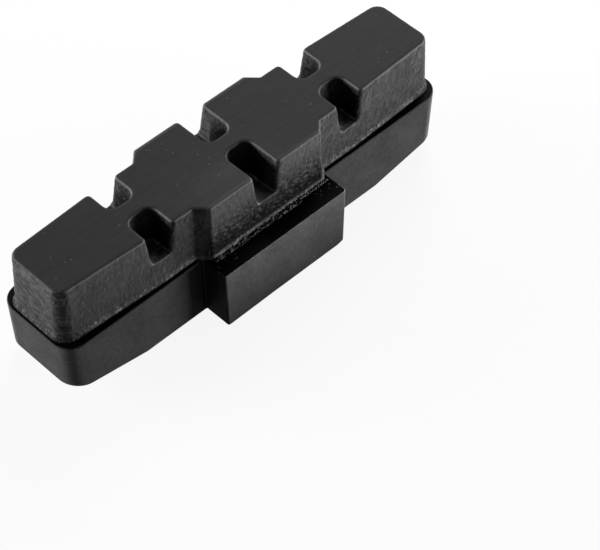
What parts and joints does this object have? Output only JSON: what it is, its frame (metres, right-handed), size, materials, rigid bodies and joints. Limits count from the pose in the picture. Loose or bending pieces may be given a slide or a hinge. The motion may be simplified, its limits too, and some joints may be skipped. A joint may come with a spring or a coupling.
{
  "type": "bicycle rim brake pad",
  "caption": "Long rubber friction block with side slots and a stepped middle, moulded on a plastic carrier with side ears and a round socket in its back for a brake piston.",
  "frame": {"origin": "centre of the carrier's back face, in the middle of the socket's mouth", "axes": "+X along the pad, +Y across it towards one ear, +Z out of the friction face; the pad lies on its back"},
  "size_m": [0.05, 0.0164, 0.0141],
  "materials": {
    "carrier_plastic": "satin moulded black plastic",
    "block_rubber": "matte moulded black rubber"
  },
  "bodies": {
    "root": {"carrier": "carrier_plastic", "friction_block": "block_rubber"}
  },
  "joints": []
}
